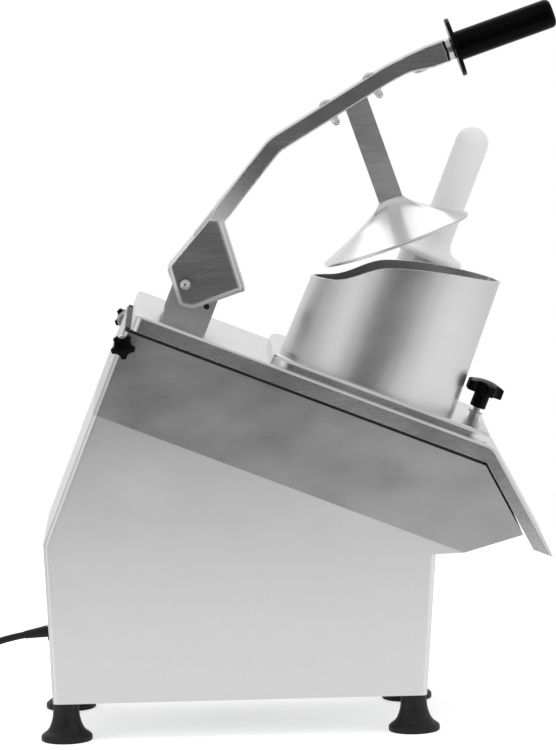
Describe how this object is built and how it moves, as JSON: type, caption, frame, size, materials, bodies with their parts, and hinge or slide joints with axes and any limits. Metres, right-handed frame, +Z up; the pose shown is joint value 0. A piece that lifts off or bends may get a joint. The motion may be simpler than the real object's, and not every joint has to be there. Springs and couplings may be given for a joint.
{
  "type": "vegetable shredder",
  "caption": "Electric vegetable cutter: sloping hinged cover over a cutting disc, lever-worked feed hopper and a round feed tube with push stick, slices leaving under the front.",
  "frame": {"origin": "on the floor the feet stand on, under the centre of the machine without its cord", "axes": "+X towards the front with the discharge opening, +Y towards the switch side, +Z up"},
  "size_m": [0.7456, 0.2755, 0.7319],
  "materials": {
    "housing_steel": "brushed satin",
    "chamber_casting": "brushed satin",
    "cover_casting": "polished satin",
    "hopper_steel": "polished",
    "lever_casting": "polished satin",
    "bracket_steel": "satin",
    "fastener_steel": "bright",
    "knob_black": "satin black",
    "grip_black": "satin black",
    "rubber_black": "matt",
    "stick_white": "translucent white",
    "cord_black": "satin black",
    "belt_rubber": "matt",
    "pulley_metal": "turned",
    "shaft_steel": "ground",
    "bearing_steel": "ground",
    "blade_steel": "ground",
    "disc_casting": "satin",
    "ejector_plastic": "natural white",
    "motor_paint": "dark grey",
    "plate_steel": "zinc plated",
    "switch_black": "gloss black",
    "block_grey": "grey",
    "button_green": "green",
    "button_red": "red"
  },
  "bodies": {
    "base": {"base_housing": "housing_steel", "bottom_plate": "plate_steel", "foot_bolts": "fastener_steel", "chamber_housing": "chamber_casting", "lid_gasket": "rubber_black", "bearing_housing": "pulley_metal", "upper_bearing": "bearing_steel", "lower_bearing": "bearing_steel", "shaft_seal": "rubber_black", "bearing_bolts": "fastener_steel", "motor_body": "motor_paint", "motor_bracket": "plate_steel", "motor_bolts": "fastener_steel", "capacitor": "pulley_metal", "drive_belt": "belt_rubber", "switch_panel": "switch_black", "contact_block": "block_grey", "cable_gland": "cord_black", "power_cord": "cord_black", "cord_coil": "cord_black", "power_plug": "cord_black", "foot_near_rear": "rubber_black", "foot_far_rear": "rubber_black", "foot_near_front": "rubber_black", "foot_far_front": "rubber_black"},
    "drive_train": {"drive_shaft": "shaft_steel", "drive_pins": "shaft_steel", "driven_pulley": "pulley_metal", "ejector_disc": "ejector_plastic", "cutting_disc": "disc_casting", "cutting_blades": "blade_steel", "blade_screws": "fastener_steel"},
    "motor_train": {"motor_spindle": "shaft_steel", "motor_pulley": "pulley_metal"},
    "cover": {"cover_shell": "cover_casting", "hinge_lugs": "cover_casting", "feed_hopper": "hopper_steel", "feed_tube": "hopper_steel", "lever_bracket": "bracket_steel", "bracket_screws": "fastener_steel", "pivot_pin": "fastener_steel", "bracket_spacer": "rubber_black"},
    "lever": {"lever_arm": "lever_casting", "press_stem": "lever_casting", "press_plate": "hopper_steel", "lever_bolts": "fastener_steel", "lever_nuts": "fastener_steel", "hand_guard": "knob_black", "grip_rod": "shaft_steel", "hand_grip": "grip_black"},
    "stick": {"push_stick": "stick_white"},
    "clamp_seat": {"clamp_washer": "fastener_steel"},
    "clamp": {"clamp_knob": "knob_black", "clamp_stud": "shaft_steel"},
    "near_seat": {"near_knob_washer": "fastener_steel"},
    "near_knob": {"near_hinge_knob": "knob_black"},
    "far_seat": {"far_knob_washer": "fastener_steel"},
    "far_knob": {"far_hinge_knob": "knob_black"},
    "start_button": {"start_button": "button_green"},
    "stop_button": {"stop_button": "button_red"}
  },
  "joints": [
    {"name": "cover_hinge", "type": "hinge", "parent": "base", "child": "cover", "pos_m": [-0.17892, 0, 0.4041], "axis": [0, -1, 0], "range_deg": [0, 95]},
    {"name": "lever_hinge", "type": "hinge", "parent": "cover", "child": "lever", "pos_m": [-0.11539, 0, 0.45496], "axis": [0, -1, 0], "range_deg": [-40, 45]},
    {"name": "stick_slide", "type": "slide", "parent": "cover", "child": "stick", "axis": [0.3778, 0, 0.9259], "range_m": [0, 0.135]},
    {"name": "clamp_lift", "type": "slide", "parent": "cover", "child": "clamp_seat", "axis": [0.3778, 0, 0.9259], "range_m": [0, 0.01]},
    {"name": "clamp_turn", "type": "hinge", "parent": "clamp_seat", "child": "clamp", "pos_m": [0.1645, 0, 0.27907], "axis": [0.3778, 0, 0.9259], "range_deg": [0, 2880]},
    {"name": "near_knob_slide", "type": "slide", "parent": "base", "child": "near_seat", "axis": [0, -1, 0], "range_m": [0, 0.014]},
    {"name": "near_knob_turn", "type": "hinge", "parent": "near_seat", "child": "near_knob", "pos_m": [-0.17892, 0, 0.4041], "axis": [0, -1, 0], "range_deg": [0, 5040]},
    {"name": "far_knob_slide", "type": "slide", "parent": "base", "child": "far_seat", "axis": [0, 1, 0], "range_m": [0, 0.014]},
    {"name": "far_knob_turn", "type": "hinge", "parent": "far_seat", "child": "far_knob", "pos_m": [-0.17892, 0, 0.4041], "axis": [0, 1, 0], "range_deg": [0, 5040]},
    {"name": "disc_spin", "type": "hinge", "parent": "base", "child": "drive_train", "pos_m": [0.0571, 0, 0.3229], "axis": [0.3778, 0, 0.9259], "continuous": true},
    {"name": "motor_spin", "type": "hinge", "parent": "base", "child": "motor_train", "pos_m": [-0.09845, 0, 0.38638], "axis": [0.3778, 0, 0.9259], "continuous": true},
    {"name": "start_press", "type": "slide", "parent": "base", "child": "start_button", "axis": [0, -1, 0], "range_m": [0, 0.003], "stiffness_N_per_m": 400, "springref_m": -0.002},
    {"name": "stop_press", "type": "slide", "parent": "base", "child": "stop_button", "axis": [0, -1, 0], "range_m": [0, 0.003], "stiffness_N_per_m": 400, "springref_m": -0.002}
  ],
  "couplings": [
    {"joint": "motor_spin", "follows": "disc_spin", "ratio": 5.0909},
    {"joint": "clamp_turn", "follows": "clamp_lift", "rad_per_m": 5026.5},
    {"joint": "near_knob_turn", "follows": "near_knob_slide", "rad_per_m": 6283.1},
    {"joint": "far_knob_turn", "follows": "far_knob_slide", "rad_per_m": 6283.1}
  ]
}
